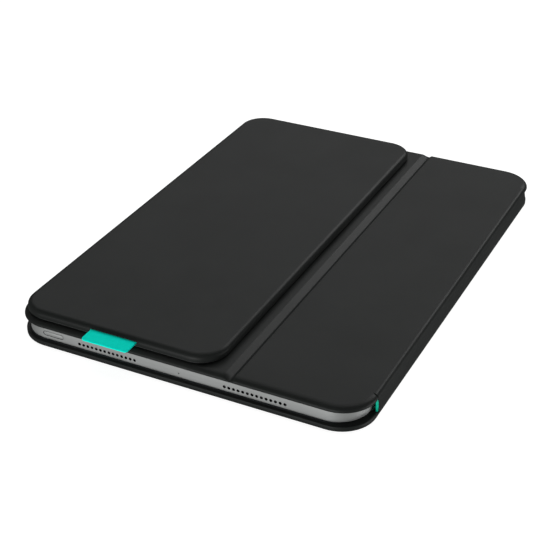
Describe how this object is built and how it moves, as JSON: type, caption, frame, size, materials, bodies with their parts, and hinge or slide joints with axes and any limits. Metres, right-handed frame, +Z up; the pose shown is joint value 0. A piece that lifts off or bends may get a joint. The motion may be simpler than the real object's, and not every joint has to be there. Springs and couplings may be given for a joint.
{
  "type": "tablet keyboard case",
  "caption": "Closed folio with a folding front cover and soft spine round a slim tablet, and a thin keyboard docked keys down on the front cover, with a pull tab.",
  "frame": {"origin": "centre of the back cover's outer face, on the surface that the closed folio lies on", "axes": "+Z up through the closed folio, +Y along the long side away from the pull tab, +X towards the spine"},
  "size_m": [0.1829, 0.261, 0.0169],
  "materials": {
    "cover_skin": "soft matte",
    "stiffener_board": "matte",
    "lining": "brushed microfibre",
    "spine_liner": "matte",
    "steel": "satin",
    "keyboard_skin": "soft matte",
    "keyboard_deck": "fine matte",
    "keycaps": "fine matte",
    "dome_rubber": "matte",
    "circuit_board": "solder mask",
    "pull_tab": "close weave",
    "tablet_metal": "bead blasted, anodised",
    "tablet_glass": "polished"
  },
  "bodies": {
    "back_cover": {"back_skin": "cover_skin", "back_board": "stiffener_board", "back_lining": "lining", "camera_ring": "cover_skin", "back_magnet_1": "steel", "back_magnet_2": "steel", "back_magnet_3": "steel", "back_magnet_4": "steel"},
    "spine": {"spine_skin": "cover_skin", "spine_liner": "spine_liner", "spine_bar": "steel"},
    "front_inner": {"inner_panel_skin": "cover_skin", "inner_panel_board": "stiffener_board", "inner_panel_lining": "lining"},
    "front_outer": {"outer_panel_skin": "cover_skin", "outer_panel_board": "stiffener_board", "outer_panel_lining": "lining", "crease_strip": "lining", "dock_magnet_1": "steel", "dock_magnet_2": "steel", "closure_magnet_1": "steel", "closure_magnet_2": "steel"},
    "keyboard": {"keyboard_back_shell": "keyboard_skin", "keyboard_deck": "keyboard_deck", "key_plate": "steel", "dome_sheet": "dome_rubber", "circuit_board": "circuit_board", "pull_tab": "pull_tab", "battery_door": "keyboard_deck", "door_screw_1": "steel", "door_screw_2": "steel", "coin_cell_1": "steel", "coin_cell_2": "steel", "coin_cell_3": "steel", "coin_cell_4": "steel", "keyboard_magnet_1": "steel", "keyboard_magnet_2": "steel"},
    "power_switch": {"power_switch": "keycaps"},
    "function_keys": {"function_keys": "keycaps"},
    "number_keys": {"number_keys": "keycaps"},
    "backspace_key": {"backspace_key": "keycaps"},
    "tab_key": {"tab_key": "keycaps"},
    "top_letter_keys": {"top_letter_keys": "keycaps"},
    "caps_key": {"caps_key": "keycaps"},
    "home_letter_keys": {"home_letter_keys": "keycaps"},
    "enter_key": {"enter_key": "keycaps"},
    "left_shift_key": {"left_shift_key": "keycaps"},
    "bottom_letter_keys": {"bottom_letter_keys": "keycaps"},
    "right_shift_key": {"right_shift_key": "keycaps"},
    "modifier_keys_left": {"modifier_keys_left": "keycaps"},
    "space_bar": {"space_bar": "keycaps"},
    "modifier_keys_right": {"modifier_keys_right": "keycaps"},
    "arrow_keys": {"arrow_keys": "keycaps"},
    "tablet": {"tablet_housing": "tablet_metal", "tablet_glass": "tablet_glass", "tablet_camera_lens": "tablet_glass"},
    "tablet_power_button": {"tablet_power_button": "tablet_metal"},
    "tablet_volume_up": {"tablet_volume_up": "tablet_metal"},
    "tablet_volume_down": {"tablet_volume_down": "tablet_metal"}
  },
  "joints": [
    {"name": "spine_fold", "type": "hinge", "parent": "back_cover", "child": "spine", "pos_m": [0.08985, 0, 0.00175], "axis": [0, 1, 0], "range_deg": [0, 90]},
    {"name": "cover_fold", "type": "hinge", "parent": "spine", "child": "front_inner", "pos_m": [0.08985, 0, 0.01035], "axis": [0, 1, 0], "range_deg": [0, 90]},
    {"name": "crease_fold", "type": "hinge", "parent": "front_inner", "child": "front_outer", "pos_m": [0.0269, 0, 0.01065], "axis": [0, -1, 0], "range_deg": [-90, 0]},
    {"name": "keyboard_lift", "type": "slide", "parent": "front_outer", "child": "keyboard", "axis": [0, 0, -1], "range_m": [-0.05, 0]},
    {"name": "tablet_slide", "type": "slide", "parent": "back_cover", "child": "tablet", "axis": [-1, 0, 0], "range_m": [0, 0.19]},
    {"name": "power_switch_slide", "type": "slide", "parent": "keyboard", "child": "power_switch", "axis": [0, 1, 0], "range_m": [0, 0.003]},
    {"name": "function_keys_press", "type": "slide", "parent": "keyboard", "child": "function_keys", "axis": [0, 0, 1], "range_m": [0, 0.0008], "stiffness_N_per_m": 1500},
    {"name": "number_keys_press", "type": "slide", "parent": "keyboard", "child": "number_keys", "axis": [0, 0, 1], "range_m": [0, 0.0008], "stiffness_N_per_m": 1500},
    {"name": "backspace_key_press", "type": "slide", "parent": "keyboard", "child": "backspace_key", "axis": [0, 0, 1], "range_m": [0, 0.0008], "stiffness_N_per_m": 500},
    {"name": "tab_key_press", "type": "slide", "parent": "keyboard", "child": "tab_key", "axis": [0, 0, 1], "range_m": [0, 0.0008], "stiffness_N_per_m": 500},
    {"name": "top_letter_keys_press", "type": "slide", "parent": "keyboard", "child": "top_letter_keys", "axis": [0, 0, 1], "range_m": [0, 0.0008], "stiffness_N_per_m": 1500},
    {"name": "caps_key_press", "type": "slide", "parent": "keyboard", "child": "caps_key", "axis": [0, 0, 1], "range_m": [0, 0.0008], "stiffness_N_per_m": 500},
    {"name": "home_letter_keys_press", "type": "slide", "parent": "keyboard", "child": "home_letter_keys", "axis": [0, 0, 1], "range_m": [0, 0.0008], "stiffness_N_per_m": 1500},
    {"name": "enter_key_press", "type": "slide", "parent": "keyboard", "child": "enter_key", "axis": [0, 0, 1], "range_m": [0, 0.0008], "stiffness_N_per_m": 500},
    {"name": "left_shift_key_press", "type": "slide", "parent": "keyboard", "child": "left_shift_key", "axis": [0, 0, 1], "range_m": [0, 0.0008], "stiffness_N_per_m": 500},
    {"name": "bottom_letter_keys_press", "type": "slide", "parent": "keyboard", "child": "bottom_letter_keys", "axis": [0, 0, 1], "range_m": [0, 0.0008], "stiffness_N_per_m": 1500},
    {"name": "right_shift_key_press", "type": "slide", "parent": "keyboard", "child": "right_shift_key", "axis": [0, 0, 1], "range_m": [0, 0.0008], "stiffness_N_per_m": 500},
    {"name": "modifier_keys_left_press", "type": "slide", "parent": "keyboard", "child": "modifier_keys_left", "axis": [0, 0, 1], "range_m": [0, 0.0008], "stiffness_N_per_m": 1500},
    {"name": "space_bar_press", "type": "slide", "parent": "keyboard", "child": "space_bar", "axis": [0, 0, 1], "range_m": [0, 0.0008], "stiffness_N_per_m": 500},
    {"name": "modifier_keys_right_press", "type": "slide", "parent": "keyboard", "child": "modifier_keys_right", "axis": [0, 0, 1], "range_m": [0, 0.0008], "stiffness_N_per_m": 1500},
    {"name": "arrow_keys_press", "type": "slide", "parent": "keyboard", "child": "arrow_keys", "axis": [0, 0, 1], "range_m": [0, 0.0008], "stiffness_N_per_m": 1500},
    {"name": "tablet_power_press", "type": "slide", "parent": "tablet", "child": "tablet_power_button", "axis": [0, 1, 0], "range_m": [0, 0.0003], "stiffness_N_per_m": 2000},
    {"name": "volume_up_press", "type": "slide", "parent": "tablet", "child": "tablet_volume_up", "axis": [1, 0, 0], "range_m": [0, 0.0003], "stiffness_N_per_m": 2000},
    {"name": "volume_down_press", "type": "slide", "parent": "tablet", "child": "tablet_volume_down", "axis": [1, 0, 0], "range_m": [0, 0.0003], "stiffness_N_per_m": 2000}
  ]
}
